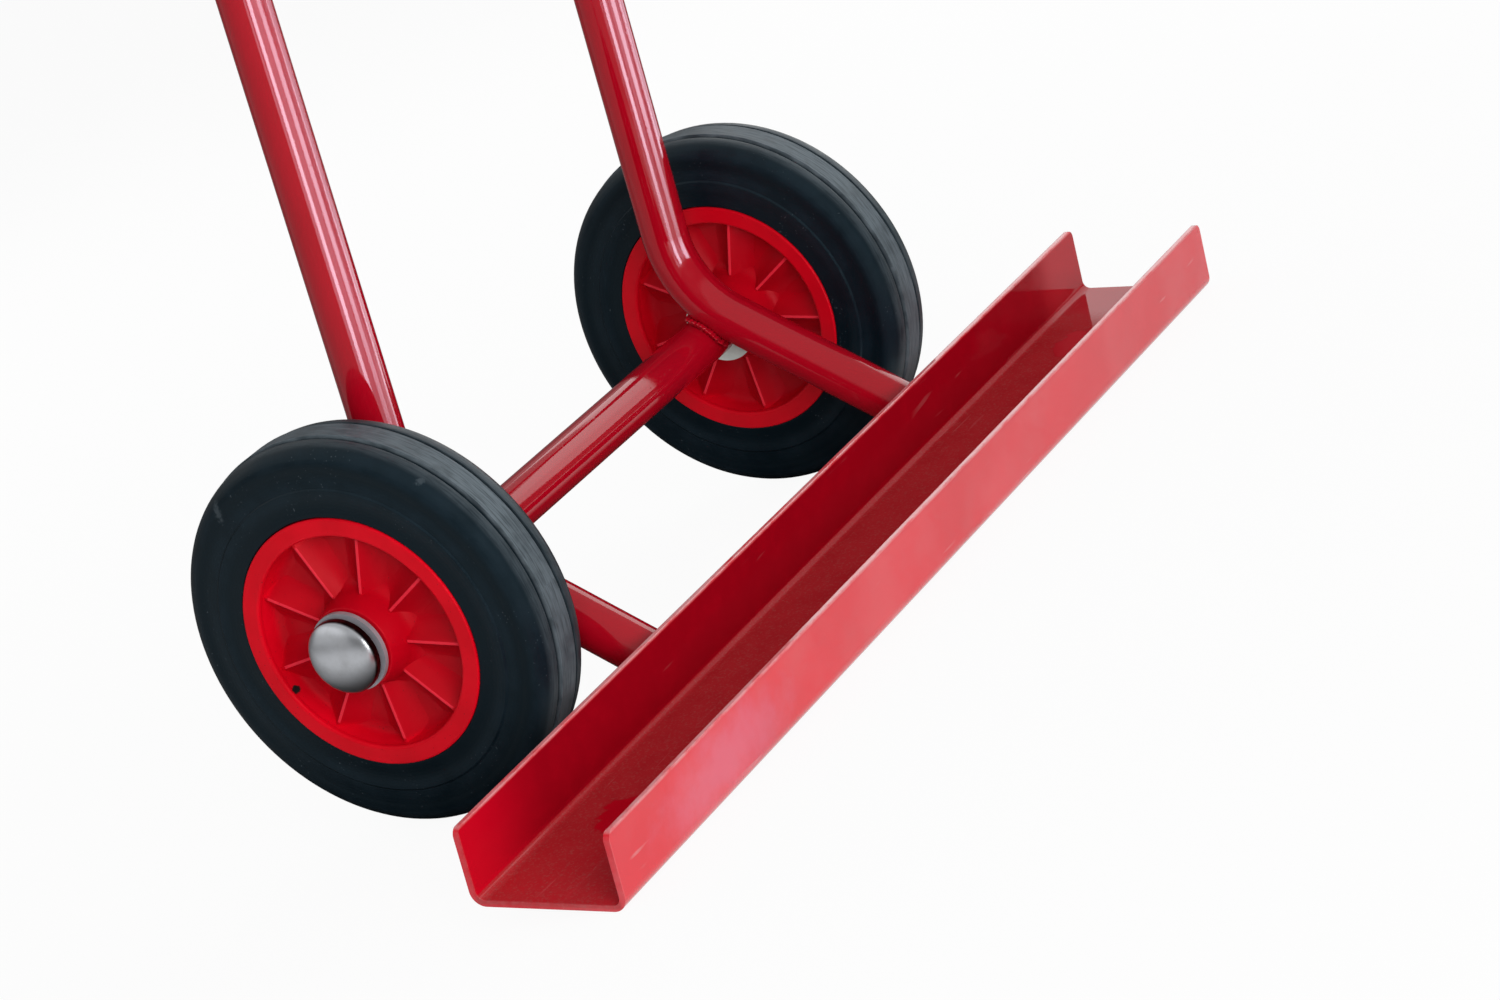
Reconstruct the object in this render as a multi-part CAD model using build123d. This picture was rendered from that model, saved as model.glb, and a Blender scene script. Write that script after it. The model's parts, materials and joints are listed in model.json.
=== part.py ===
from build123d import *
import math
import os

# Chair hand truck: a welded tube frame on two wheels, with a folded channel for the chair legs.
# Everything is drawn about the axle first: X along the axle, -Y forward, the channel's floor level.
# The truck is then tipped forward onto its wheels and the channel's front edge, as it stands.

# Driving dimensions, in millimetres and degrees

# Frame tubes
tube_diameter = 25.0
tube_wall = 2.0
tube_spacing = 281.8
bend_radius = 58.0
upright_setback = 6.8
upright_lean = 1.5
upright_height = 930.0
run_slope = 31.0
run_offset = 20.2

# Handles and grips
handle_turn = 50.0
handle_bend_radius = 80.0
handle_bare = 14.0
grip_cover = 118.0
grip_wall = 3.4
grip_end_wall = 4.0
grip_end_round = 5.0
grip_collar_diameter = 39.0
grip_collar_width = 5.0
grip_collar_round = 1.5
grip_groove_count = 6
grip_groove_depth = 1.0
grip_groove_spacing = 15.0
grip_groove_radius = 2.6

# Cross bars
bar_diameter = 20.0
bar_wall = 1.5
lower_bar_height = 420.0
upper_bar_below_bend = 140.0

# Load channel
channel_length = 675.0
channel_width = 80.0
channel_height = 38.5
channel_sheet = 3.0
channel_inner_bend = 4.2
channel_corner_round = 4.5
channel_edge_round = 0.7
channel_reach = 121.2
channel_drop = 63.4

# Weld beads
bead_leg = 3.0
bar_bead_leg = 2.2

# Axle tube and axle rod
axle_tube_diameter = 25.0
axle_tube_inset = 3.5
axle_diameter = 20.0
axle_tube_clearance = 0.2
axle_bead = 2.2
axle_chamfer = 1.0
stop_height = 1.5
stop_width = 2.5
stop_gap = 4.2

# Washers on the axle
washer_diameter = 40.0
washer_thickness = 2.5
washer_clearance = 0.05
side_play = 0.4

# Push-on retaining ring and domed axle cap
cap_gap = 2.4
cap_diameter = 37.5
cap_sheet = 0.9
cap_skirt = 2.2
cap_rise = 7.3
cap_lip = 2.2
ring_thickness = 0.8
ring_flat_width = 3.2
ring_cone_height = 1.6
ring_slot_count = 8
ring_slot_width = 1.6
ring_slot_depth = 3.0
axle_end_past_ring = 1.2

# Bushes in the wheel hubs
bush_clearance = 0.05
bush_wall = 3.0
bush_length = 20.0
bush_flange_diameter = 36.0
bush_flange = 1.2

# Wheel rims
rim_diameter = 128.8
rim_width = 44.7
rim_ring = 9.3
rim_ring_round = 1.6
rim_edge_round = 0.8
rim_flange = 3.6
rim_seat_depth = 7.2
rim_seat_draft = 1.2
rim_lip = 2.6
rim_lip_step = 0.8
barrel_wall = 4.2
pocket_depth = 12.5
web_thickness = 4.0
hub_length = 54.6
hub_end_diameter = 41.6
hub_root_diameter = 47.0
hub_fillet = 8.0
hub_edge_round = 0.8
hub_wall = 4.5
barrel_fillet = 6.0
pocket_slope = ((0.0, 0.8), (0.3, 1.0), (0.65, 1.1), (1.0, 1.15))
rib_count = 9
rib_thickness = 1.2
rib_drop = 4.5
rib_phase = -3.0

# Tyres
wheel_diameter = 200.0
tyre_width = 43.0
tread_width = 41.2
bead_round = 0.8
wall_band = 14.0
shoulder_drop = 0.8
shoulder_round = 10.5
crown_width = 13.0
groove_width = 2.6
groove_depth = 2.8
groove_draft = 0.45
groove_round = 0.4

# Worked out from the driving dimensions

tube_r = tube_diameter / 2
tube_bore_r = tube_r - tube_wall
side_x = tube_spacing / 2
axle_r = axle_diameter / 2
axle_tube_r = axle_tube_diameter / 2
axle_tube_bore_r = axle_r + axle_tube_clearance
axle_tube_half = side_x + tube_r - axle_tube_inset
wheel_r = wheel_diameter / 2

# Places along the axle, from the frame outwards
inner_washer_x = side_x + tube_r + stop_gap
hub_inner_x = inner_washer_x + washer_thickness + side_play
wheel_x = hub_inner_x + bush_flange + hub_length / 2
hub_outer_x = wheel_x + hub_length / 2 + bush_flange
outer_washer_x = hub_outer_x + side_play
cap_x = outer_washer_x + washer_thickness + cap_gap
ring_x = cap_x + cap_sheet
axle_end_x = ring_x + ring_thickness + ring_cone_height + axle_end_past_ring
bush_r = axle_r + bush_clearance + bush_wall

# The channel's outer faces
channel_back_y = -channel_reach
channel_front_y = channel_back_y - channel_width
channel_floor_z = -channel_drop
channel_top_z = channel_floor_z + channel_height
channel_outer_bend = channel_inner_bend + channel_sheet


def along(angle):
    """Unit vector in the side plane, turned back from straight up by an angle in degrees."""
    turn = math.radians(angle)
    return Vector(0, math.sin(turn), math.cos(turn))


# The side tube's centre line, in the side plane
upright_way = along(upright_lean)
run_way = along(-90 - run_slope)
run_foot = along(-run_slope) * run_offset
upright_foot = Vector(0, upright_setback, 0)
crossing = upright_way.Y * run_way.Z - upright_way.Z * run_way.Y
to_run = run_foot - upright_foot
bend_corner = upright_foot + upright_way * ((to_run.Y * run_way.Z - to_run.Z * run_way.Y) / crossing)
handle_corner = upright_foot + upright_way * (upright_height / upright_way.Z)
handle_way = along(upright_lean + handle_turn)
handle_tangent = handle_bend_radius * math.tan(math.radians(handle_turn / 2))
handle_end = handle_corner + handle_way * (handle_tangent + handle_bare + grip_cover)
run_end_y = channel_back_y - tube_diameter
run_end = run_foot + run_way * ((run_end_y - run_foot.Y) / run_way.Y)


def upright_at(height):
    """Point on the upright's centre line at a height above the axle."""
    return upright_foot + upright_way * (height / upright_way.Z)


def rod(start, end, radius):
    """Round bar along the axle's direction."""
    return extrude(Plane.YZ.offset(start) * Circle(radius), amount=end - start)


def sleeve(start, end, inner, outer):
    """Round tube along the axle's direction."""
    return rod(start, end, outer) - rod(start, end, inner)


def turned(outline):
    """Solid turned about the axle from corners given as (place, radius, rounding)."""
    corners = [(place, radius) for place, radius, _ in outline]
    rounds = [rounding for _, _, rounding in outline]
    profile = make_face(FilletPolyline(*corners, radius=rounds, close=True))
    return revolve(profile, axis=Axis.X)


def both_halves(outline):
    """Closes an outline of one half, listed from the middle outwards, with its mirror image."""
    other = [(-place, radius, rounding) for place, radius, rounding in reversed(outline)]
    return outline + other


def mirrored(shape):
    """The same shape on the truck's other side."""
    return mirror(shape, about=Plane.YZ)


def side_bar(radius):
    """Solid bar along the side tube's centre line, on the left side."""
    line = FilletPolyline(run_end, bend_corner, handle_corner, handle_end,
                          radius=(bend_radius, handle_bend_radius))
    line = Pos(X=side_x) * line
    return sweep(Plane(origin=line @ 0, z_dir=line % 0) * Circle(radius), path=line)


def bead(first, first_fat, second, second_fat):
    """Weld bead where two bars meet: the overlap of their thickened shapes outside both bars."""
    return (first_fat & second_fat) - first - second


def side_tube(side_outer):
    """Bent tube, cut flat against the channel and notched over the axle tube."""
    tube = side_outer - side_bar(tube_bore_r)
    against_channel = Plane(origin=(0, channel_back_y, 0), z_dir=(0, 1, 0))
    tube = split(tube, bisect_by=against_channel, keep=Keep.TOP)
    return tube - rod(0, wheel_x, axle_tube_r)


def channel_outline(grow):
    """Outer section of the channel, filled, and grown by a distance, as a bar along the axle."""
    back, front = channel_back_y + grow, channel_front_y - grow
    floor, top = channel_floor_z - grow, channel_top_z
    corners = [(back, top), (back, floor), (front, floor), (front, top)]
    rounds = [0, channel_outer_bend + grow, channel_outer_bend + grow, 0]
    section = Plane.YZ * make_face(FilletPolyline(*corners, radius=rounds, close=True))
    return extrude(section, amount=channel_length / 2, both=True)


def load_channel():
    """Folded U channel with rounded sheet edges and rounded corners at its ends."""
    back, front = channel_back_y, channel_front_y
    floor, top, sheet = channel_floor_z, channel_top_z, channel_sheet
    corners = [(back, top), (back, floor), (front, floor), (front, top),
               (front + sheet, top), (front + sheet, floor + sheet),
               (back - sheet, floor + sheet), (back - sheet, top)]
    edge, outer, inner = channel_edge_round, channel_outer_bend, channel_inner_bend
    rounds = [edge, outer, outer, edge, edge, inner, inner, edge]
    section = Plane.YZ * make_face(FilletPolyline(*corners, radius=rounds, close=True))
    folded = extrude(section, amount=channel_length / 2, both=True)
    half = channel_length / 2
    face = [(-half, floor), (half, floor), (half, top), (-half, top)]
    face_rounds = [0, 0, channel_corner_round, channel_corner_round]
    side_view = Plane.XZ * make_face(FilletPolyline(*face, radius=face_rounds, close=True))
    trim = extrude(side_view, amount=2 * (channel_reach + channel_width), both=True)
    return folded & trim


def channel_weld():
    """Bead round the end of a run, filling the wedge at the channel's outer bend."""
    place = Plane(origin=run_end + Vector(side_x, 0, 0), z_dir=run_way * -1)
    reach = 3 * tube_diameter
    run = extrude(place * Circle(tube_r), amount=reach)
    fat_run = extrude(place * Circle(tube_r + bead_leg), amount=reach)
    against_channel = Plane(origin=(0, channel_back_y, 0), z_dir=(0, 1, 0))
    run = split(run, bisect_by=against_channel, keep=Keep.TOP)
    at_channel = channel_outline(bead_leg) - channel_outline(0)
    above_floor = Plane(origin=(0, 0, channel_floor_z), z_dir=(0, 0, 1))
    weld = (fat_run & at_channel) - run
    behind = Plane(origin=(0, channel_back_y - channel_outer_bend, 0), z_dir=(0, 1, 0))
    weld = split(weld, bisect_by=above_floor, keep=Keep.TOP)
    return split(weld, bisect_by=behind, keep=Keep.TOP)


def cross_bar(height, sides):
    """Tube between the uprights at a height above the axle, coped to them."""
    at = upright_at(height)
    bar = Pos(Y=at.Y, Z=at.Z) * sleeve(-side_x, side_x, bar_diameter / 2 - bar_wall, bar_diameter / 2)
    return bar - sides


def cross_bar_weld(height):
    """Bead round a cross bar's left end."""
    at = upright_at(height)
    bar_r = bar_diameter / 2
    bar = Pos(Y=at.Y, Z=at.Z) * rod(0, side_x, bar_r)
    fat_bar = Pos(Y=at.Y, Z=at.Z) * rod(0, side_x, bar_r + bar_bead_leg)
    below = Plane(origin=at + Vector(side_x, 0, 0) - upright_way * bar_diameter, z_dir=upright_way)
    upright = extrude(below * Circle(tube_r), amount=2 * bar_diameter)
    fat_upright = extrude(below * Circle(tube_r + bar_bead_leg), amount=2 * bar_diameter)
    return bead(bar, fat_bar, upright, fat_upright)


def hand_grip():
    """Closed grip sleeve on the left handle, with a collar and shallow rings."""
    outer_r, collar_r = tube_r + grip_wall, grip_collar_diameter / 2
    corners = [(0, 0), (tube_r, 0), (tube_r, -grip_cover), (collar_r, -grip_cover),
               (collar_r, grip_collar_width - grip_cover), (outer_r, grip_collar_width - grip_cover),
               (outer_r, grip_end_wall), (0, grip_end_wall)]
    rounds = [0, 0, 0, grip_collar_round, grip_collar_round, grip_collar_round, grip_end_round, 0]
    profile = Plane.XZ * make_face(FilletPolyline(*corners, radius=rounds, close=True))
    grip = revolve(profile, axis=Axis.Z)
    centre_r = outer_r + grip_groove_radius - grip_groove_depth
    middle = (grip_collar_width + grip_end_wall - grip_cover) / 2
    for index in range(grip_groove_count):
        place = middle + (index - (grip_groove_count - 1) / 2) * grip_groove_spacing
        grip -= Pos(Z=place) * Torus(centre_r, grip_groove_radius)
    seat = Plane(origin=handle_end + Vector(side_x, 0, 0), z_dir=handle_way)
    return seat.location * grip


def axle_rod():
    """Round bar with a raised stop inside each inner washer and chamfered ends."""
    stop_r = axle_r + stop_height
    half = [(inner_washer_x - stop_width, axle_r, 0), (inner_washer_x - stop_width, stop_r, 0),
            (inner_washer_x, stop_r, 0), (inner_washer_x, axle_r, 0),
            (axle_end_x - axle_chamfer, axle_r, 0), (axle_end_x, axle_r - axle_chamfer, 0),
            (axle_end_x, 0, 0)]
    return turned(both_halves(half))


def axle_rod_weld():
    """Fillet that holds the rod at the axle tube's left end."""
    start = axle_tube_half
    return turned([(start, axle_r, 0), (start, axle_r + axle_bead, 0), (start + axle_bead, axle_r, 0)])


def washer(start):
    """Flat washer on the axle."""
    return sleeve(start, start + washer_thickness, axle_r + washer_clearance, washer_diameter / 2)


def retaining_ring():
    """Push-on ring: a flat rim crimped into the cap and slotted prongs that grip the rod."""
    outer_r = cap_diameter / 2 - cap_sheet
    flat_r = outer_r - ring_flat_width
    tip_x = ring_x + ring_cone_height
    ring = turned([(ring_x, outer_r, 0), (ring_x, flat_r, 0), (tip_x, axle_r, 0),
                   (tip_x + ring_thickness, axle_r, 0), (ring_x + ring_thickness, flat_r, 0),
                   (ring_x + ring_thickness, outer_r, 0)])
    slot_r = axle_r + ring_slot_depth
    depth = 2 * (ring_cone_height + ring_thickness)
    slot = Pos(X=ring_x + depth / 2, Z=slot_r / 2) * Box(2 * depth, ring_slot_width, slot_r)
    for index in range(ring_slot_count):
        ring -= Rot(X=index * 360 / ring_slot_count) * slot
    return ring


def axle_cap():
    """Domed cap of thin sheet, its edge turned in behind the retaining ring."""
    outer_r = cap_diameter / 2
    inner_r = outer_r - cap_sheet
    lip_r = outer_r - cap_lip
    dome_x = cap_x + cap_skirt
    inner_rise = cap_rise - cap_sheet
    outside = EllipticalCenterArc((dome_x, 0), cap_rise, outer_r, arc_size=90)
    inside = EllipticalCenterArc((dome_x, 0), inner_rise, inner_r, arc_size=90)
    skirt = Polyline((dome_x, outer_r), (cap_x, outer_r), (cap_x, lip_r), (ring_x, lip_r),
                     (ring_x, inner_r), (dome_x, inner_r))
    tip = Line((dome_x + inner_rise, 0), (dome_x + cap_rise, 0))
    profile = make_face((outside + skirt + inside + tip).edges())
    return revolve(profile, axis=Axis.X)


def rim_wall_radius(place):
    """Radius of the pockets' outer wall at a distance from the wheel's middle plane."""
    floor_x, lip_x = rim_width / 2 - pocket_depth, rim_width / 2 - rim_lip
    floor_r = rim_diameter / 2 - rim_seat_depth - barrel_wall
    lip_r = rim_diameter / 2 - rim_ring + rim_lip_step
    return floor_r + (place - floor_x) / (lip_x - floor_x) * (lip_r - floor_r)


def hub_radius(place):
    """Radius of the hub's side, and of the pockets' inner wall below it."""
    end_x, root_x = hub_length / 2, rim_width / 2 - rib_drop
    slope = (hub_root_diameter - hub_end_diameter) / 2 / (end_x - root_x)
    return hub_end_diameter / 2 + (end_x - place) * slope


def wheel_seat():
    """Half outline of the rim's tyre seat, from the flange's inner edge to the middle."""
    edge_r = rim_diameter / 2
    seat_r = edge_r - rim_seat_depth
    flange_x = rim_width / 2 - rim_flange
    return [(flange_x, edge_r, 0), (flange_x - rim_seat_draft, seat_r, 0)]


def rim_pocket():
    """What is scooped out between two ribs of a rim half, about the middle of the pocket at +Y."""
    floor_x, top_x = rim_width / 2 - pocket_depth, rim_width / 2 - rib_drop
    start_r, end_r = hub_end_diameter / 2, rim_diameter / 2
    half_pitch = math.pi / rib_count
    sections = []
    for share, depth_share in pocket_slope:
        place = start_r + share * (end_r - start_r)
        wide = place * math.tan(half_pitch) - rib_thickness / 2 / math.cos(half_pitch)
        deep = depth_share * (top_x - floor_x)
        arc = Bezier((-wide, 0), (0, -2 * deep), (wide, 0))
        across = Plane((top_x, place, 0), x_dir=(0, 0, 1), z_dir=(0, 1, 0))
        sections.append(across * make_face([arc, Line(arc @ 1, arc @ 0)]))
    corners = [(top_x, hub_radius(top_x)), (floor_x, hub_radius(floor_x)),
               (floor_x, rim_wall_radius(floor_x)), (top_x, rim_wall_radius(top_x))]
    limit = FilletPolyline(*corners, radius=[0, hub_fillet, barrel_fillet, 0], close=True)
    return loft(sections) & revolve(make_face(limit), axis=Axis.X)


def rim_half():
    """Outer half of the moulded rim, about the wheel's middle plane, where the two halves meet."""
    half, hub_half, top_x = rim_width / 2, hub_length / 2, rim_width / 2 - rib_drop
    edge_r = rim_diameter / 2
    ring_r = edge_r - rim_ring
    lip_x = half - rim_lip
    back_x = half - pocket_depth - web_thickness
    hollow_out_r = edge_r - rim_seat_depth - barrel_wall
    hollow_in_r = bush_r + hub_wall
    outline = [(0, bush_r, 0), (hub_half, bush_r, 0), (hub_half, hub_end_diameter / 2, hub_edge_round),
               (top_x, hub_radius(top_x), 0), (top_x, rim_wall_radius(top_x), 0),
               (lip_x, rim_wall_radius(lip_x), 0), (lip_x, ring_r, 0), (half, ring_r, rim_ring_round),
               (half, edge_r, rim_edge_round), *wheel_seat(), (0, edge_r - rim_seat_depth, 0),
               (0, hollow_out_r, 0), (back_x, hollow_out_r, 0), (back_x, hollow_in_r, 0), (0, hollow_in_r, 0)]
    body, pocket = turned(outline), rim_pocket()
    for index in range(rib_count):
        body -= Rot(X=(index + 0.5) * 360 / rib_count) * pocket
    return Rot(X=180 - rib_phase) * body


def tyre():
    """Solid rubber tyre about its middle plane: crown rib, two grooves, rounded shoulders."""
    half, tread_half, crown_half = tyre_width / 2, tread_width / 2, crown_width / 2
    edge_r = rim_diameter / 2
    band_r = edge_r + wall_band
    step = half - tread_half
    shoulder_r = wheel_r - shoulder_drop
    rib_x = crown_half + groove_width
    bottom_r = wheel_r - groove_depth
    room = tread_half - rib_x - groove_round
    outside = [(half, edge_r, bead_round), (half, band_r, step / 2), (tread_half, band_r + step, step / 2),
               (tread_half, shoulder_r, min(shoulder_round, room)), (rib_x, shoulder_r, groove_round),
               (rib_x - groove_draft, bottom_r, groove_round),
               (crown_half + groove_draft, bottom_r, groove_round), (crown_half, wheel_r, groove_round)]
    seat = [(place, radius, rounding) for place, radius, rounding in reversed(wheel_seat())]
    return turned(both_halves(list(reversed(seat + outside))))


def bush():
    """Flanged bush for a hub's outer end, about the wheel's middle plane."""
    bore_r = axle_r + bush_clearance
    face = hub_length / 2
    body = sleeve(face - bush_length, face, bore_r, bush_r)
    return body + sleeve(face, face + bush_flange, bore_r, bush_flange_diameter / 2)


def frame_pieces():
    """The welded frame with its grips, drawn about the axle."""
    outer, fat = side_bar(tube_r), side_bar(tube_r + bead_leg)
    sides = [outer, mirrored(outer)]
    left_tube, left_grip = side_tube(outer), hand_grip()
    upper_bar_height = upright_height - upper_bar_below_bend
    axle_outer = rod(0, axle_tube_half, axle_tube_r)
    axle_fat = rod(0, axle_tube_half, axle_tube_r + bead_leg)
    axle_weld = bead(axle_outer, axle_fat, outer, fat)
    low_weld = cross_bar_weld(lower_bar_height)
    high_weld = cross_bar_weld(upper_bar_height)
    run_weld = channel_weld()
    rod_weld = axle_rod_weld()
    return {
        "left_side_tube": left_tube,
        "right_side_tube": mirrored(left_tube),
        "axle_tube": sleeve(-axle_tube_half, axle_tube_half, axle_tube_bore_r, axle_tube_r),
        "lower_cross_bar": cross_bar(lower_bar_height, sides),
        "upper_cross_bar": cross_bar(upper_bar_height, sides),
        "load_channel": load_channel(),
        "left_hand_grip": left_grip,
        "right_hand_grip": mirrored(left_grip),
        "axle_tube_welds": Compound(children=[axle_weld, mirrored(axle_weld)]),
        "lower_cross_bar_welds": Compound(children=[low_weld, mirrored(low_weld)]),
        "upper_cross_bar_welds": Compound(children=[high_weld, mirrored(high_weld)]),
        "channel_welds": Compound(children=[run_weld, mirrored(run_weld)]),
        "axle_rod": axle_rod(),
        "axle_rod_welds": Compound(children=[rod_weld, mirrored(rod_weld)]),
    }


def wheel_side_pieces():
    """What sits on the axle on the left side, drawn about the axle."""
    outer_bush, outer_half = bush(), rim_half()
    at_wheel = Pos(X=wheel_x)
    return {
        "inner_washer": washer(inner_washer_x),
        "outer_washer": washer(outer_washer_x),
        "retaining_ring": retaining_ring(),
        "axle_cap": axle_cap(),
        "tyre": at_wheel * tyre(),
        "rim_outer_half": at_wheel * outer_half,
        "rim_inner_half": at_wheel * mirrored(outer_half),
        "outer_bush": at_wheel * outer_bush,
        "inner_bush": at_wheel * mirrored(outer_bush),
    }


def tip_angle():
    """Forward tip, in degrees, that brings the wheels and the channel's front edge onto one floor."""
    bend_y = channel_front_y + channel_outer_bend
    bend_z = channel_floor_z + channel_outer_bend
    below = math.atan2(-bend_z, -bend_y)
    return math.degrees(math.asin((wheel_r - channel_outer_bend) / math.hypot(bend_y, bend_z)) - below)


def all_pieces():
    """Every piece by name, standing on the floor with the origin under the middle of its box."""
    pieces = frame_pieces()
    for name, piece in wheel_side_pieces().items():
        pieces["left_" + name] = piece
        pieces["right_" + name] = mirrored(piece)
    standing = Pos(Z=wheel_r) * Rot(X=tip_angle())
    pieces = {name: standing * piece for name, piece in pieces.items()}
    boxes = [piece.bounding_box() for piece in pieces.values()]
    middle_y = (min(box.min.Y for box in boxes) + max(box.max.Y for box in boxes)) / 2
    return {name: Pos(Y=-middle_y) * piece for name, piece in pieces.items()}


os.makedirs("parts", exist_ok=True)
for node, solid in all_pieces().items():
    export_step(solid, os.path.join("parts", node + ".step"))
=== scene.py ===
import json
import math

import bmesh
import bpy
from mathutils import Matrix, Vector, noise


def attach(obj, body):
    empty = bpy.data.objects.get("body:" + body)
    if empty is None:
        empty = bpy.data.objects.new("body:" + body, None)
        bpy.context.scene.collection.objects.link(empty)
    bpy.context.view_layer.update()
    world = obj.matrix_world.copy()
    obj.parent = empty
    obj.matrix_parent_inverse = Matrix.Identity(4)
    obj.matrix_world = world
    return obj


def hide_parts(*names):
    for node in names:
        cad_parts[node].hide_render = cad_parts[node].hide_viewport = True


# Chair hand truck: finishes for the welded frame, the load channel, the wheels and the axle hardware.
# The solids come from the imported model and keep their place. Lengths are in metres.

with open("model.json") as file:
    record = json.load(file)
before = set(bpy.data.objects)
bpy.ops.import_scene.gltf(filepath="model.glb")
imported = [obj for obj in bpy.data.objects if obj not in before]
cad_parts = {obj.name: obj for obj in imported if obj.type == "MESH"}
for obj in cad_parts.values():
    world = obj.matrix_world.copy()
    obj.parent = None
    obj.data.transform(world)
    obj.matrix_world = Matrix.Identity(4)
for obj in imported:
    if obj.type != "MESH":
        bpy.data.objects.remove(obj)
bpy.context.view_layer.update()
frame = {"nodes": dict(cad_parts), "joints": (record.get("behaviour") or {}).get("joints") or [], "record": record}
nodes = frame["nodes"]

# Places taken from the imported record
axle = Vector((0, *frame["joints"][0]["pos_m"][1:]))
rim_middle = 1000 * abs(frame["joints"][0]["pos_m"][0])
floor_mount = next(mount for mount in frame["record"]["mounts"] if mount["name"] == "channel_floor")
channel_tip = math.atan2(-floor_mount["axis"][1], floor_mount["axis"][2])
sides = {"left": 1, "right": -1}

# Faces of the load channel, in millimetres about the axle and level with its floor
floor_top = -60.4
flange_top = -24.9
front_face = -201.2
front_inside = -198.2
back_inside = -124.2
half_length = 337.5

# Colours, as linear light
tube_red = (0.375, 0.0015, 0.0108)
tube_deep = (0.335, 0.0012, 0.0086)
weld_dirt = (0.16, 0.006, 0.010)
sheet_red = (0.64, 0.0024, 0.0170)
sheet_deep = (0.58, 0.0020, 0.0140)
sheet_painted_shade = (0.285, 0.0010, 0.0075)
paint_chalk = (0.62, 0.24, 0.25)
paint_film = (0.42, 0.018, 0.024)
film_dust = (0.36, 0.062, 0.060)
painted_reflection_tint = (0.56, 0.36, 0.60)
bare_metal = (0.42, 0.38, 0.37)
plastic_red = (0.68, 0.0010, 0.0115)
plastic_deep = (0.60, 0.0008, 0.0095)
plastic_painted_shade = (0.42, 0.0005, 0.0075)
plastic_pale = (0.70, 0.0050, 0.0200)
plastic_painted_highlight = (0.80, 0.024, 0.048)
stain_black = (0.012, 0.010, 0.010)
rubber_black = (0.0014, 0.0056, 0.0094)
rubber_grey = (0.0058, 0.0132, 0.0200)
rubber_dust = (0.108, 0.132, 0.150)
zinc_pale = (0.70, 0.72, 0.76)
zinc_dull = (0.54, 0.55, 0.57)
washer_pale = (0.40, 0.39, 0.43)
washer_dull = (0.28, 0.28, 0.30)
zinc_white = (0.66, 0.72, 0.68)
zinc_cloud = (0.52, 0.57, 0.54)
edge_dark = (0.020, 0.019, 0.022)
bar_steel = (0.52, 0.51, 0.50)
bar_stain = (0.30, 0.26, 0.22)
nylon_cream = (0.72, 0.70, 0.63)
nylon_grease = (0.36, 0.33, 0.28)
grip_black = (0.0105, 0.0105, 0.0115)
grip_dust = (0.055, 0.053, 0.050)


def add_node(tree, kind, feeds=(), **settings):
    """Adds a shader node, sets it up, and feeds its sockets with values or other sockets."""
    made = tree.nodes.new("ShaderNode" + kind)
    for setting, value in settings.items():
        setattr(made, setting, value)
    for socket, value in dict(feeds).items():
        if isinstance(value, bpy.types.NodeSocket):
            tree.links.new(value, made.inputs[socket])
        else:
            made.inputs[socket].default_value = value
    return made


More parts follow.
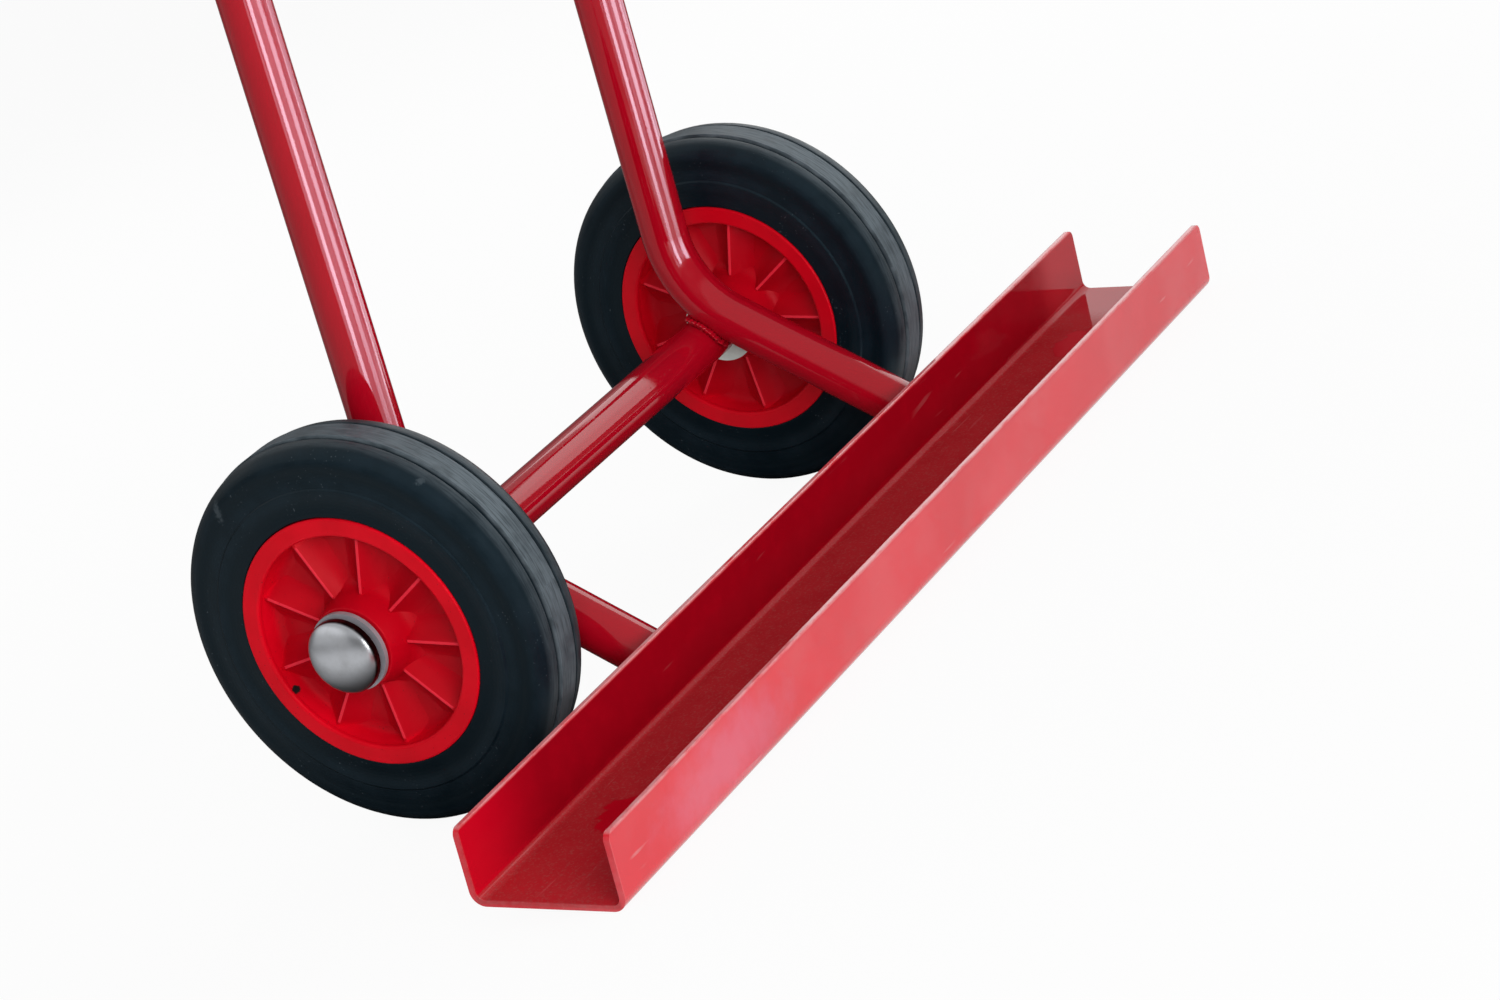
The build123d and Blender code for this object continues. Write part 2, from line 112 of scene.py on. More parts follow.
class Finish:
    """One surface finish: a shader, and the patterns that feed it, all in object coordinates."""

    def __init__(self, name, **sockets):
        self.material = bpy.data.materials.new(name)
        self.material.use_nodes = True
        self.tree = self.material.node_tree
        self.shader = self.tree.nodes["Principled BSDF"]
        for socket, value in sockets.items():
            self.shader.inputs[socket.replace("_", " ")].default_value = value
        self.place = self.add("TexCoord").outputs["Object"]

    def add(self, kind, feeds=(), **settings):
        return add_node(self.tree, kind, feeds, **settings)

    def about(self, centre, turn=(0, 0, 0), unit=1.0):
        """Coordinates about a centre and along turned axes, in a unit of length."""
        feeds = {"Vector": self.place, "Location": centre, "Rotation": turn, "Scale": (unit,) * 3}
        return self.add("Mapping", feeds, vector_type="TEXTURE").outputs[0]

    def stretched(self, place, x, y, z):
        return self.add("Mapping", {"Vector": place, "Scale": (x, y, z)}).outputs[0]

    def axes(self, place):
        return self.add("SeparateXYZ", {0: place}).outputs

    def grain(self, size, place=None, detail=2.0, rough=0.5):
        """Soft noise from 0 to 1 with features of about this size."""
        feeds = {"Vector": place or self.place, "Scale": 1 / size, "Detail": detail, "Roughness": rough}
        return self.add("TexNoise", feeds).outputs[0]

    def fade(self, value, start, end, low=0.0, high=1.0):
        """Smooth step from low to high while a value goes from start to end."""
        names = ("From Min", "From Max", "To Min", "To Max")
        feeds = {"Value": value, **dict(zip(names, (start, end, low, high)))}
        return self.add("MapRange", feeds, interpolation_type="SMOOTHSTEP").outputs[0]

    def between(self, value, low, high, soft):
        """1 while a value lies between two limits, with soft edges."""
        return self.both(self.fade(value, low - soft, low), self.fade(value, high + soft, high))

    def worked(self, operation, *values):
        """Result of a sum worked on one or two values."""
        return self.add("Math", dict(enumerate(values)), operation=operation).outputs[0]

    def both(self, first, second):
        return self.worked("MULTIPLY", first, second)

    def either(self, first, second):
        return self.worked("MAXIMUM", first, second)

    def plus(self, first, second):
        return self.worked("ADD", first, second)

    def beside(self, amount):
        """What an amount leaves over of 1."""
        return self.worked("SUBTRACT", 1.0, amount)

    def unsigned(self, value):
        return self.worked("ABSOLUTE", value)

    def blend(self, amount, first, second):
        """Colour that goes from first to second by an amount."""
        feeds = {0: amount}
        for socket, colour in ((6, first), (7, second)):
            feeds[socket] = (*colour, 1) if isinstance(colour, tuple) else colour
        return self.add("Mix", feeds, data_type="RGBA").outputs[2]

    def away(self, place, point, x=1.0, y=1.0, z=1.0):
        """Distance from a point, with each axis given its weight."""
        offset = self.add("VectorMath", {0: place, 1: point}, operation="SUBTRACT").outputs[0]
        weighed = self.add("VectorMath", {0: offset, 1: (x, y, z)}, operation="MULTIPLY").outputs[0]
        return self.add("VectorMath", {0: weighed}, operation="LENGTH").outputs["Value"]

    def from_axle(self, about):
        """Distance from the axle's line, for coordinates about the axle."""
        return self.away(about, (0, 0, 0), x=0.0)

    def bump(self, height, depth, strength=1.0, under=None):
        feeds = {"Height": height, "Distance": depth, "Strength": strength}
        if under is not None:
            feeds["Normal"] = under
        return self.add("Bump", feeds).outputs[0]

    def feed(self, **sockets):
        for socket, value in sockets.items():
            self.tree.links.new(value, self.shader.inputs[socket.replace("_", " ")])


def dress(finish, *names):
    """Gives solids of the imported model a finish."""
    for name in names:
        materials = nodes[name].data.materials
        materials.clear()
        materials.append(finish.material)


# Red paint of the frame

def paint_base(paint, red, deep):
    """Cloudy red colour, the clouds themselves, and the slight orange peel of a powder coat."""
    clouds = paint.grain(0.08, detail=3.0)
    shade = paint.blend(paint.fade(clouds, 0.35, 0.70), red, deep)
    waves = paint.bump(paint.grain(0.012, detail=1.0), 0.0004, 0.018)
    peel = paint.bump(paint.grain(0.0028, detail=1.0), 0.0002, 0.022, waves)
    return shade, clouds, peel


def tube_paint(name, stretch):
    """Glossy red powder coat with faint rub marks along the tubes."""
    paint = Finish(name, IOR=1.54)
    shade, clouds, peel = paint_base(paint, tube_red, tube_deep)
    along_tube = paint.stretched(paint.place, *stretch)
    rubs = paint.fade(paint.grain(0.0012, along_tube, detail=1.0), 0.66, 0.80)
    worn = paint.both(rubs, paint.fade(clouds, 0.50, 0.72, 0.0, 0.16))
    nibs = paint.fade(paint.grain(0.0021, detail=0.0), 0.80, 0.88)
    paint.feed(Base_Color=paint.blend(worn, shade, paint_chalk),
               Roughness=paint.plus(paint.fade(clouds, 0.30, 0.75, 0.055, 0.11), paint.both(worn, 0.8)),
               Normal=paint.bump(nibs, 0.0002, 0.15, peel))
    return paint


def weld_paint():
    """The same paint over weld beads, with spatter and small runs."""
    paint = Finish("weld_paint", IOR=1.54)
    shade, clouds, peel = paint_base(paint, tube_red, tube_deep)
    pits = paint.grain(0.0017, detail=2.0)
    dirt = paint.both(paint.fade(pits, 0.52, 0.40), 0.45)
    paint.feed(Base_Color=paint.blend(dirt, shade, weld_dirt),
               Roughness=paint.fade(pits, 0.35, 0.65, 0.18, 0.09),
               Normal=paint.bump(pits, 0.0003, 0.25, peel))
    return paint


def channel_paint():
    """The paint of the load channel: a dusty film on its floor, rubbed places, painted shade between the flanges,
    a chalky haze that is partly a painted reflection, a painted reflection on the front face, worn edges with a
    painted highlight round the ends, and scratches.
    """
    paint = Finish("channel_paint", IOR=1.5, Specular_IOR_Level=0.0, Coat_Roughness=0.06, Coat_IOR=1.56)
    shade, clouds, peel = paint_base(paint, sheet_red, sheet_deep)
    spot = paint.about(axle, (channel_tip, 0, 0), 0.001)
    x, y, z = paint.axes(spot)
    on_floor = paint.both(paint.between(z, floor_top - 1.2, floor_top + 1.8, 0.8),
                          paint.between(y, front_inside + 0.6, back_inside - 0.6, 1.2))

    # Dusty film, rubbed off where chair legs stand
    mottle = paint.grain(14.0, spot, detail=4.0, rough=0.6)
    speckle = paint.grain(1.3, spot, detail=2.0, rough=0.7)
    edge = paint.both(paint.plus(paint.grain(7.0, spot, detail=3.0), -0.5), 0.9)
    rubbed = None
    for place, length, width in ((-258.0, 18.0, 14.0), (260.0, 22.0, 16.0)):
        reach = paint.plus(paint.away(spot, (place, -157.0, floor_top), 1 / length, 1 / width, 0.0), edge)
        patch = paint.fade(reach, 1.06, 0.90)
        rubbed = patch if rubbed is None else paint.either(rubbed, patch)
    kept = paint.both(paint.beside(rubbed), paint.fade(x, 312.0, 292.0))
    film = paint.both(on_floor, paint.both(kept, paint.fade(mottle, 0.25, 0.60, 0.72, 1.0)))
    dusty = paint.both(film, paint.fade(speckle, 0.50, 0.68, 0.0, 0.55))
    # Painted shade: a darker colour on the faces between the flanges, fading out towards the near end and in the
    # rubbed patches
    stretch = paint.both(paint.fade(x, -336.0, -262.0, 0.15, 1.0), paint.fade(x, 308.0, 276.0, 0.60, 1.0))
    stretch = paint.both(stretch, paint.fade(rubbed, 0.0, 1.0, 1.0, 0.45))
    between_flanges = paint.between(y, front_inside - 0.4, back_inside + 0.4, 0.5)
    inner = paint.both(paint.both(between_flanges, paint.fade(z, flange_top - 0.7, flange_top - 1.7)), stretch)
    shade = paint.blend(paint.both(inner, paint.fade(mottle, 0.20, 0.60, 0.88, 1.0)), shade, sheet_painted_shade)
    colour = paint.blend(dusty, paint.blend(film, shade, paint_film), film_dust)

    # Chalky haze, partly a painted reflection, and long scratches on the outer faces
    long_way = paint.stretched(spot, 0.05, 1.0, 0.55)
    scratch = paint.fade(paint.grain(2.2, long_way, detail=1.0), 0.68, 0.76)
    sparse = paint.fade(paint.grain(38.0, spot, detail=2.0), 0.52, 0.66)
    outside = paint.fade(y, front_face + 1.8, front_face + 0.6)
    scuffs = paint.both(paint.both(scratch, sparse), paint.fade(outside, 0.0, 1.0, 0.12, 0.50))
    haze_and_painted_sheen = paint.both(outside, paint.fade(paint.grain(60.0, spot, detail=3.0), 0.42, 0.72, 0.0, 0.10))
    colour = paint.blend(paint.either(scuffs, haze_and_painted_sheen), colour, paint_chalk)
    # Painted reflection: a pale lilac sheen across the front face, strongest towards the near end
    cloudy = paint.plus(paint.away(spot, (-236.0, front_face, -44.0), 1 / 100, 0.0, 1 / 30),
                        paint.both(mottle, 0.7))
    painted_sheen_and_bloom = paint.both(outside, paint.fade(cloudy, 1.15, 0.45, 0.0, 0.16))
    colour = paint.blend(painted_sheen_and_bloom, colour, painted_reflection_tint)

    # Worn edges along both flange tops; round the ends, wear over a painted highlight that lightens the whole end
    # edge
    wear = paint.grain(5.0, paint.stretched(spot, 0.35, 1.0, 1.0), detail=4.0, rough=0.65)
    top = paint.fade(z, flange_top - 1.5, flange_top - 0.2)
    tips = paint.fade(paint.unsigned(x), half_length - 1.1, half_length - 0.2)
    edge_wear_and_painted_highlight = paint.either(paint.both(top, paint.fade(wear, 0.30, 0.58, 0.20, 0.85)),
                            paint.both(tips, paint.fade(wear, 0.30, 0.70, 0.08, 0.18)))
    chips = paint.both(top, paint.fade(wear, 0.66, 0.72))
    colour = paint.blend(chips, paint.blend(edge_wear_and_painted_highlight, colour, paint_chalk), bare_metal)

    far_floor = paint.both(on_floor, paint.fade(x, 280.0, 300.0, 0.0, 0.5))
    # Less coat under the film, and under the painted shade between the flanges
    shine = paint.beside(paint.either(paint.either(paint.both(film, 0.64), far_floor), paint.both(inner, 0.85)))
    paint.feed(Base_Color=colour, Coat_Weight=shine,
               Roughness=paint.fade(paint.either(film, edge_wear_and_painted_highlight), 0.0, 1.0, 0.32, 0.60),
               Normal=paint.bump(paint.either(scuffs, chips), 0.0003, -0.3,
                                 paint.bump(paint.both(speckle, film), 0.0003, 0.10, peel)))
    return paint


# Wheels

def rim_plastic(name, pocket_painted_shade, ring_painted_shade):
    """Moulded red plastic: satin, faint flow marks, a painted highlight on the rib tops, painted shade in the
    pockets and round the hub, and a black stain.
    """
    plastic = Finish(name, IOR=1.47, Specular_IOR_Level=0.15)
    about = plastic.about(axle, unit=0.001)
    radius = plastic.from_axle(about)
    clouds = plastic.grain(22.0, about, detail=3.0)
    shade = plastic.blend(plastic.fade(clouds, 0.35, 0.70), plastic_red, plastic_deep)
    flow = plastic.both(plastic.fade(plastic.grain(5.0, about, detail=4.0, rough=0.65), 0.52, 0.70, 0.0, 0.35),
                        plastic.between(radius, 27.0, 53.0, 3.0))
    shade = plastic.blend(flow, shade, plastic_pale)
    out = plastic.unsigned(plastic.axes(about)["X"])
    height = plastic.unsigned(plastic.plus(out, -rim_middle))
    # Painted highlight: a lighter colour along the rib tops
    rib_top_painted_highlight = plastic.both(plastic.between(height, 17.7, 18.0, 0.1), plastic.between(radius, 24.6, 53.0, 0.6))
    # Painted shade: darker colour in the pockets and round the hub, and on the ring by the ring's amount
    painted_shade_amount = plastic.both(plastic.fade(radius, 55.2, 51.5, ring_painted_shade, pocket_painted_shade),
                           plastic.fade(clouds, 0.2, 0.6, 0.85, 1.0))
    shade = plastic.blend(painted_shade_amount, shade, plastic_painted_shade)
    shade = plastic.blend(rib_top_painted_highlight, shade, plastic_painted_highlight)
    lumps = plastic.both(plastic.grain(1.6, about, detail=3.0), 2.8)
    spread = plastic.plus(plastic.away(about, (-207.2, 52.4, -17.2), 0.7, 1.0, 0.85), lumps)
    stain = plastic.fade(spread, 3.7, 2.9)
    specks = plastic.both(plastic.fade(plastic.grain(0.9, about, detail=0.0), 0.80, 0.86), 0.6)
    dirt = plastic.either(stain, specks)
    fine = plastic.bump(plastic.grain(0.9, about, detail=1.0), 0.0001, 0.14)
    plastic.feed(Base_Color=plastic.blend(dirt, shade, stain_black),
                 Roughness=plastic.plus(plastic.fade(clouds, 0.30, 0.70, 0.33, 0.43), plastic.both(dirt, 0.3)),
                 Normal=plastic.bump(plastic.grain(9.0, about, detail=1.0), 0.0004, 0.06, fine))
    return plastic


def tyre_rubber():
    """Black rubber: rolled walls with turned rings, a painted sheen in two rings on the walls, a dusty worn tread,
    pale scuffs and specks.
    """
    rubber = Finish("tyre_rubber", IOR=1.5, Specular_IOR_Level=0.34, Specular_Tint=(0.72, 0.92, 1.0, 1))
    about = rubber.about(axle, unit=0.001)
    x, y, z = rubber.axes(about)
    radius = rubber.from_axle(about)
    clouds = rubber.grain(16.0, about, detail=4.0, rough=0.6)
    fine = rubber.grain(1.1, about, detail=3.0, rough=0.7)
    tread = rubber.fade(radius, 97.4, 99.0)

    # Greyer bloom in clouds on the walls, stronger in two rings of painted sheen
    painted_sheen_rings = rubber.either(rubber.between(radius, 76.0, 82.0, 5.0), rubber.between(radius, 92.5, 96.5, 3.0))
    painted_sheen_and_bloom = rubber.both(rubber.fade(clouds, 0.30, 0.68, 0.25, 1.0), rubber.plus(rubber.both(painted_sheen_rings, 0.7), 0.15))
    shade = rubber.blend(painted_sheen_and_bloom, rubber_black, rubber_grey)

    # Tread worn pale, with lines that run round the tyre
    angle = rubber.worked("ARCTAN2", z, y)
    round_way = rubber.add("CombineXYZ", {0: x, 1: rubber.both(angle, 6.0)}).outputs[0]
    lines = rubber.grain(0.9, round_way, detail=2.0, rough=0.6)
    worn = rubber.both(rubber.fade(clouds, 0.25, 0.60, 0.55, 1.0), rubber.fade(lines, 0.28, 0.62, 0.40, 1.0))
    across = rubber.unsigned(rubber.plus(rubber.unsigned(x), -rim_middle))
    dusty = rubber.both(rubber.both(tread, worn), rubber.fade(across, 8.2, 6.9, 0.34, 1.0))

    # Specks, and two scuffs on the near wheel's wall
    specks = rubber.both(rubber.fade(rubber.grain(1.0, about, detail=0.0), 0.775, 0.83),
                         rubber.fade(rubber.grain(24.0, about), 0.50, 0.62))
    ragged = rubber.both(rubber.grain(1.4, about, detail=3.0), 1.8)
    scuffs = None
    for spot, weights in (((-209.5, 46.5, 79.0), (0.3, 0.45, 0.15)),
                          ((-204.3, -70.5, 67.6), (0.3, 0.35, 0.6))):
        mark = rubber.fade(rubber.plus(rubber.away(about, spot, *weights), ragged), 2.1, 1.3)
        scuffs = mark if scuffs is None else rubber.either(scuffs, mark)
    scuffs = rubber.both(scuffs, 0.30)
    marks = rubber.either(rubber.both(specks, 0.35), scuffs)

    rolls = rubber.worked("SINE", rubber.both(radius, math.tau / 15.0))
    rings = rubber.worked("SINE", rubber.both(radius, math.tau / 1.9))
    walls = rubber.both(rubber.plus(rubber.both(rolls, 0.25), rubber.both(rings, 0.008)), rubber.beside(tread))
    turned = rubber.bump(walls, 0.002, 0.5)
    rubber.feed(Base_Color=rubber.blend(rubber.either(dusty, marks), shade, rubber_dust),
                Roughness=rubber.plus(rubber.fade(clouds, 0.30, 0.70, 0.36, 0.48), rubber.both(dusty, 0.12)),
                Normal=rubber.bump(fine, 0.0003, 0.10, turned))
    return rubber


# Axle hardware and grips

def plated(name, pale, dull, gloss, metal, dark_from):
    """Zinc plate with soft smudges, fine turning marks about the axle, and a darker colour past a radius."""
    plate = Finish(name, Metallic=metal)
    about = plate.about(axle, unit=0.001)
    radius = plate.from_axle(about)
    smudges = plate.grain(9.0, about, detail=4.0, rough=0.6)
    specks = plate.fade(plate.grain(0.9, about, detail=1.0), 0.70, 0.80, 0.0, 0.5)
    cloudy = plate.either(plate.fade(smudges, 0.36, 0.75, 0.0, 0.6), plate.both(specks, 0.4))
    wobble = plate.plus(plate.both(radius, math.tau / 0.7), plate.both(smudges, 6.0))
    marks = plate.worked("SINE", wobble)
    darker_edge = plate.both(plate.fade(radius, dark_from - 0.5, dark_from + 0.1), plate.fade(smudges, 0.2, 0.5, 0.75, 1.0))
    plate.feed(Base_Color=plate.blend(darker_edge, plate.blend(cloudy, pale, dull), edge_dark),
               Roughness=plate.fade(cloudy, 0.0, 1.0, gloss, gloss + 0.10),
               Normal=plate.bump(marks, 0.00001, 0.04, plate.bump(smudges, 0.0005, 0.02)))
    return plate


def bar_finish():
    """Drawn steel bar with draw marks along it and brown staining."""
    bar = Finish("axle_bar", Metallic=1.0)
    along = bar.stretched(bar.place, 0.04, 1.0, 1.0)
    lines = bar.grain(0.0007, along, detail=2.0)
    stain = bar.fade(bar.grain(0.009, detail=4.0, rough=0.65), 0.48, 0.66)
    bar.feed(Base_Color=bar.blend(stain, bar_steel, bar_stain),
             Roughness=bar.plus(bar.fade(lines, 0.3, 0.7, 0.24, 0.34), bar.both(stain, 0.25)),
             Normal=bar.bump(lines, 0.00006, 0.4))
    return bar


def nylon():
    """Natural nylon with grease near the bore."""
    bush = Finish("bush_nylon", IOR=1.53)
    about = bush.about(axle, unit=0.001)
    radius = bush.from_axle(about)
    clouds = bush.grain(6.0, about, detail=4.0)
    grease = bush.both(bush.fade(radius, 15.0, 10.5), bush.fade(clouds, 0.35, 0.60, 0.3, 1.0))
    bush.feed(Base_Color=bush.blend(grease, nylon_cream, nylon_grease),
              Roughness=bush.fade(grease, 0.0, 1.0, 0.48, 0.22),
              Normal=bush.bump(bush.grain(0.8, about), 0.0001, 0.2))
    return bush


def grip_rubber():
    """Soft black grip: pebbled skin, polished where hands hold it, dust in the grooves."""
    grip = Finish("grip_rubber", IOR=1.5)
    clouds = grip.grain(0.03, detail=4.0)
    pebble = grip.add("TexVoronoi", {"Vector": grip.place, "Scale": 1 / 0.0011}).outputs["Distance"]
    dusty = grip.both(grip.fade(pebble, 0.35, 0.60), grip.fade(clouds, 0.40, 0.70, 0.1, 0.8))
    grip.feed(Base_Color=grip.blend(dusty, grip_black, grip_dust),
              Roughness=grip.fade(clouds, 0.35, 0.70, 0.46, 0.66),
              Normal=grip.bump(pebble, 0.0003, -0.45))
    return grip


dress(tube_paint("side_tube_paint", (1.0, 0.25, 0.03)), "left_side_tube", "right_side_tube")
dress(tube_paint("cross_tube_paint", (0.03, 1.0, 1.0)), "axle_tube", "lower_cross_bar", "upper_cross_bar")
dress(channel_paint(), "load_channel")


# Weld beads with the ripples of their passes

ripple_pitch = 0.0027
ripple_height = 0.0006
bead_finest = 0.0012
bead_divisions = 5


def rippled_beads(node, finish, across):
    """Stands for a node's plain beads: the same beads, finely divided and rippled along their seams."""
    bead = bmesh.new()
    bead.from_mesh(nodes[node].data)
    bmesh.ops.remove_doubles(bead, verts=bead.verts, dist=0.00001)
    for _ in range(bead_divisions):
        long_edges = [edge for edge in bead.edges if edge.calc_length() > bead_finest]
        bmesh.ops.subdivide_edges(bead, edges=long_edges, cuts=1)
        bmesh.ops.triangulate(bead, faces=bead.faces)
    bead.normal_update()
    for sign in sides.values():
        verts = [vert for vert in bead.verts if vert.co.x * sign > 0]
        places = [[vert.co[axis] for vert in verts] for axis in across]
        middle = [(min(place) + max(place)) / 2 for place in places]
        radius = sum(max(place) - min(place) for place in places) / 4
        for vert in verts:
            first, second = [vert.co[axis] - centre for axis, centre in zip(across, middle)]
            wander = 1.4 * noise.noise(vert.co * 160)
            ripple = math.sin(math.tau * math.atan2(second, first) * radius / ripple_pitch + wander)
            vert.co += vert.normal * ripple_height * (0.5 * ripple + 0.4 * noise.noise(vert.co * 420))
    mesh = bpy.data.meshes.new(node + "_rippled")
    bead.to_mesh(mesh)
    bead.free()
    mesh.shade_smooth()
    mesh.set_sharp_from_angle(angle=math.radians(50))
    mesh.materials.append(finish.material)
    piece = bpy.data.objects.new(node + "_rippled", mesh)
    bpy.context.scene.collection.objects.link(piece)
    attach(piece, "frame")
    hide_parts(node)
    return piece


welds = weld_paint()
beads = [rippled_beads(node, welds, across=(1, 2)) for node in (
    "axle_tube_welds", "lower_cross_bar_welds", "upper_cross_bar_welds", "axle_rod_welds")]
beads.append(rippled_beads("channel_welds", welds, across=(0, 2)))
# The inner halves take more painted shade: full in the pockets and partly on the ring
outer_rims, inner_rims = rim_plastic("rim_plastic", 0.85, 0.0), rim_plastic("inner_rim_plastic", 1.0, 0.4)
tyres, bushes = tyre_rubber(), nylon()
caps = plated("cap_zinc", zinc_pale, zinc_dull, 0.30, 1.0, 18.5)
outer_washers = plated("washer_zinc", washer_pale, washer_dull, 0.50, 0.55, 30.0)
inner_washers = plated("inner_washer_zinc", zinc_white, zinc_cloud, 0.55, 0.15, 30.0)
for side in sides:
    dress(outer_rims, side + "_rim_outer_half")
    dress(inner_rims, side + "_rim_inner_half")
    dress(tyres, side + "_tyre")
    dress(bushes, side + "_inner_bush", side + "_outer_bush")
    dress(caps, side + "_axle_cap", side + "_retaining_ring")
    dress(outer_washers, side + "_outer_washer")
    dress(inner_washers, side + "_inner_washer")
dress(grip_rubber(), "left_hand_grip", "right_hand_grip")
dress(bar_finish(), "axle_rod")


# Floor, lamps and camera

def stage_piece(name, mesh, finish):
    """Adds a piece of the studio, which isn't part of the truck."""
    piece = bpy.data.objects.new(name, mesh)
    mesh.materials.append(finish.material)
    bpy.context.scene.collection.objects.link(piece)
    return piece


def surface(finish, shader):
    """Makes a shader the whole surface of a finish."""
    finish.tree.links.new(shader.outputs[0], finish.tree.nodes["Material Output"].inputs["Surface"])


def floor_finish():
    """White floor: plain white to the camera, with a faint shadow, dimmer in gloss away from the channel."""
    floor = Finish("white_floor")
    path = floor.add("LightPath").outputs
    x = floor.axes(floor.place)["X"]
    front = floor.fade(floor.away(floor.place, (0.10, -0.19, 0), 1 / 0.66, 1 / 0.16), 1.15, 0.75)
    clear = floor.fade(floor.away(floor.place, (0, 0.10, 0), 1 / 0.36, 1 / 0.22), 0.70, 1.10)
    side = floor.fade(x, -0.10, -0.45, 0.12, 0.34)
    mirrored = floor.either(front, floor.both(clear, side))
    seen = floor.either(path["Is Camera Ray"], floor.either(path["Is Glossy Ray"], path["Is Transmission Ray"]))
    bright = floor.add("Mix", {0: path["Is Camera Ray"], 2: mirrored, 3: 1.0}).outputs[0]
    glow = floor.add("Emission", {"Strength": bright})
    white = floor.add("BsdfDiffuse", {"Color": (0.8, 0.8, 0.8, 1)})
    surface(floor, floor.add("MixShader", {0: floor.both(seen, 0.94), 1: white.outputs[0], 2: glow.outputs[0]}))
    return floor


ground = bmesh.new()
bmesh.ops.create_grid(ground, x_segments=1, y_segments=1, size=30)
floor_mesh = bpy.data.meshes.new("floor")
ground.to_mesh(floor_mesh)
ground.free()
stage_piece("floor", floor_mesh, floor_finish())

world = bpy.data.worlds.new("room")
bpy.context.scene.world = world
world.use_nodes = True
path = add_node(world.node_tree, "LightPath").outputs
way = add_node(world.node_tree, "SeparateXYZ", {0: add_node(world.node_tree, "TexCoord").outputs["Generated"]})


def rising(bottom, top, low, high):
    """Brightness that goes from low to high as a direction rises."""
    feeds = {"Value": way.outputs["Z"], "From Min": bottom, "From Max": top, "To Min": low, "To Max": high}
    return add_node(world.node_tree, "MapRange", feeds, interpolation_type="SMOOTHSTEP").outputs[0]


room = add_node(world.node_tree, "Mix", {0: path["Is Glossy Ray"], 2: rising(0.2, 0.9, 0.16, 0.44),
                                         3: rising(0.32, 0.48, 0.14, 0.48)}).outputs[0]
wall = add_node(world.node_tree, "Mix", {0: path["Is Camera Ray"], 2: room, 3: 1.0}).outputs[0]
world.node_tree.links.new(wall, world.node_tree.nodes["Background"].inputs["Strength"])
world.node_tree.nodes["Background"].inputs["Color"].default_value = (1, 1, 1, 1)


def only_on(name, *lit):
    """Group of the solids that a lamp is kept to."""
    group = bpy.data.collections.new(name)
    for piece in lit:
        group.objects.link(piece)
    return group


def panel(name, centre, aim, width, height, glow, mirrored=False, receivers=None):
    """Soft lamp of a given brightness, facing a point; mirrored says whether gloss shows it."""
    lamp = bpy.data.lights.new(name, "AREA")
    lamp.shape = "RECTANGLE"
    lamp.size, lamp.size_y = width, height
    lamp.energy = glow * width * height * math.pi
    holder = bpy.data.objects.new(name, lamp)
    bpy.context.scene.collection.objects.link(holder)
    holder.location = centre
    holder.rotation_euler = (Vector(aim) - Vector(centre)).to_track_quat("-Z", "Y").to_euler()
    holder.visible_camera = False
    holder.visible_glossy = mirrored
    if receivers:
        holder.light_linking.receiver_collection = receivers


panel("front_panel", (-0.9, -2.3, 0.42), (-0.05, 0, 0.12), 2.4, 0.8, 3.4)
panel("key_panel", (-1.75, -1.75, 0.80), (-0.15, 0.05, 0.15), 1.8, 1.2, 5.8)
panel("right_panel", (1.8, -0.3, 0.85), (0, 0, 0.15), 2.4, 1.3, 1.7, mirrored=True)
panel("back_panel", (0.4, 2.2, 1.0), (0, 0, 0.3), 1.8, 1.2, 2.4)
metal = only_on("bright_metal", nodes["axle_rod"], *[nodes[side + "_" + name] for side in sides for name in (
    "inner_washer", "outer_washer", "retaining_ring", "axle_cap")])
panel("metal_panel", (-2.0, 1.5, 1.3), (-0.2, 0.05, 0.1), 3.6, 2.2, 0.34, True, metal)
panel("metal_front_panel", (-1.0, -1.9, 0.35), (-0.2, 0.05, 0.1), 0.8, 0.6, 7.0, True, metal)
panel("metal_floor_panel", (-1.0, 0.35, 0.004), (-1.0, 0.35, 1.0), 1.2, 1.2, 0.30, True, metal)
panel("weld_panel", (-1.6, -0.6, 1.6), (0.1, 0.03, 0.1), 1.6, 1.6, 2.4, True, only_on("beads", *beads))
rim_faces = only_on("rim_faces", *[nodes[side + name] for side in sides for name in (
    "_rim_outer_half", "_rim_inner_half")])


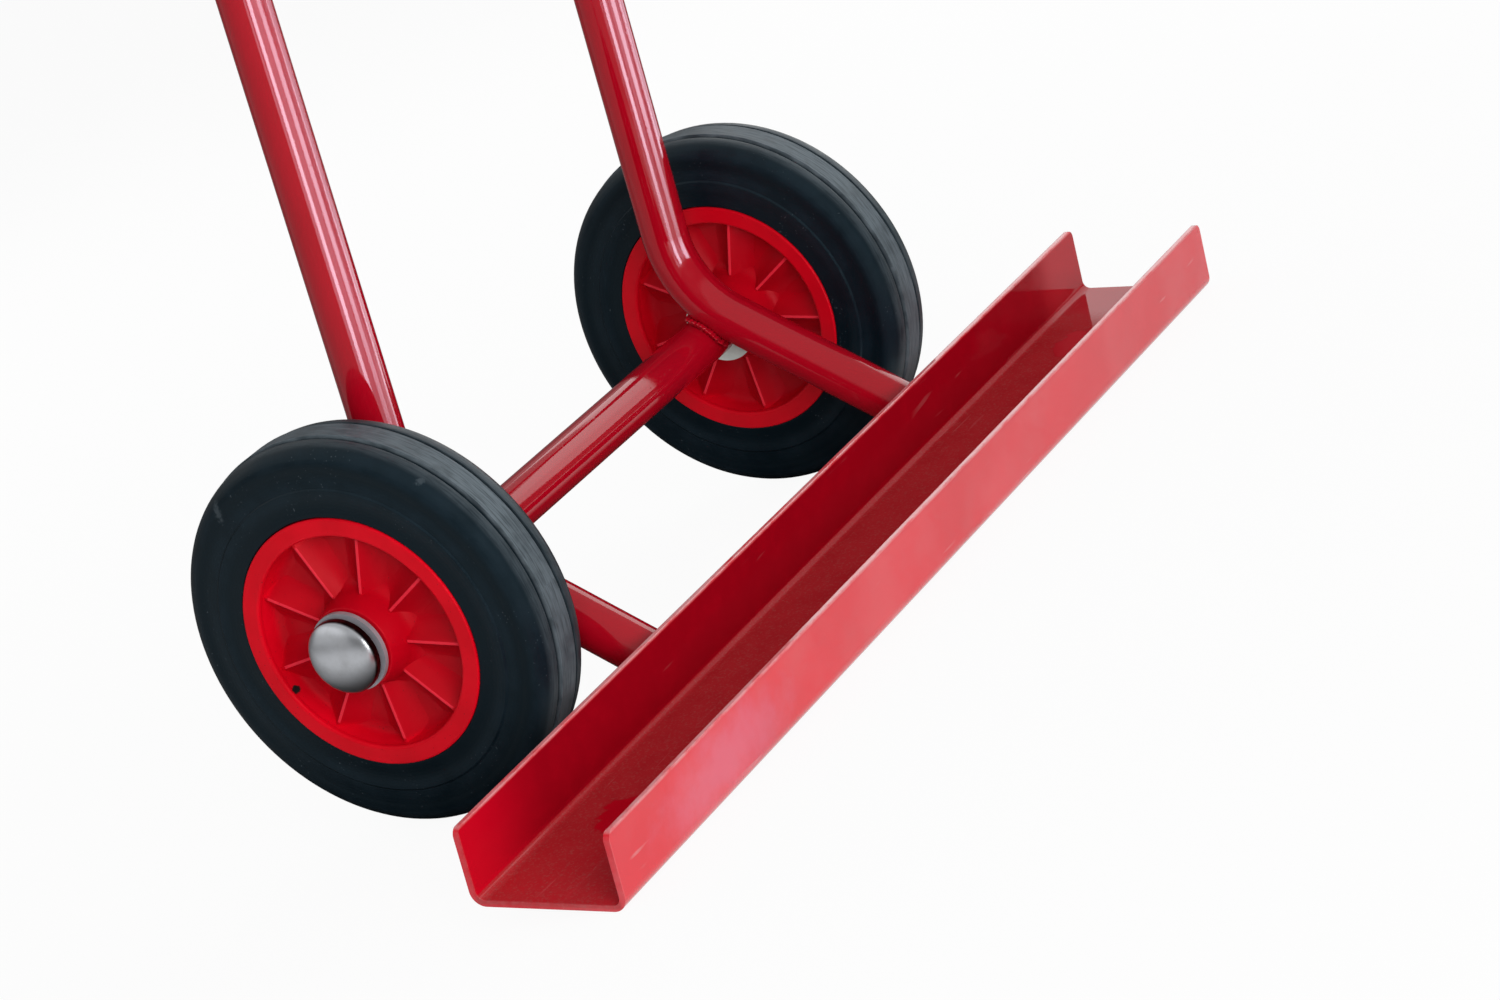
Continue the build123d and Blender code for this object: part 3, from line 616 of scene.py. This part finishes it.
def fan(name, foot, bearings, reach, glow, lift, receivers):
    """Glowing sheet on the floor about a foot, fading in outwards, for the solids that mirror it."""
    sheet = bmesh.new()
    first, last = [math.radians(bearing) for bearing in bearings]
    way = Vector((math.cos(first), math.sin(first), 0))
    ends = [sheet.verts.new(foot + way * far + Vector((0, 0, lift))) for far in reach]
    spoke = sheet.edges.new(ends)
    bmesh.ops.spin(sheet, geom=[*ends, spoke], cent=foot, axis=(0, 0, 1), angle=last - first, steps=16)
    mesh = bpy.data.meshes.new(name)
    sheet.to_mesh(mesh)
    sheet.free()
    light = Finish(name)
    clear = light.add("BsdfTransparent")
    bright = light.fade(light.away(light.place, tuple(foot)), reach[0], 4 * reach[0], 0.0, glow)
    shine = light.add("Emission", {"Strength": bright, "Color": (0.96, 0.91, 1.09, 1)})
    surface(light, light.add("AddShader", {0: clear.outputs[0], 1: shine.outputs[0]}))
    piece = stage_piece(name, mesh, light)
    piece.visible_camera = piece.visible_diffuse = piece.visible_shadow = False
    piece.visible_transmission = False
    piece.light_linking.receiver_collection = receivers


fan("rim_fan", Vector((-0.19, 0.05, 0)), (-100, -50), (0.04, 0.50), 8.0, 0.001, rim_faces)
streaks = {"spread": ((-147, -5), 2.6), "a": ((-133.7, -119), 10.0),
           "b": ((-92.3, -70), 7.2), "c": ((-47.8, -28.8), 8.0)}
for side, sign in sides.items():
    tube_only = only_on(side + "_streaks", nodes[side + "_side_tube"])
    foot = Vector((sign * 0.141, 0.02, 0))
    for index, (letter, (bearings, glow)) in enumerate(streaks.items()):
        fan("%s_fan_%s" % (side, letter), foot, bearings, (0.14, 2.4), glow, 0.002 + 0.001 * index, tube_only)

camera_data = bpy.data.cameras.new("camera")
camera = bpy.data.objects.new("camera", camera_data)
bpy.context.scene.collection.objects.link(camera)
camera.location = (-1.67363, -1.25910, 0.61448)
camera.rotation_euler = [math.radians(a) for a in (73.4782, 23.1710, -60.5872)]
camera_data.lens = 103.62
camera_data.sensor_width = 36
camera_data.sensor_fit = "HORIZONTAL"
bpy.context.scene.camera = camera
bpy.context.scene.view_settings.view_transform = "Standard"
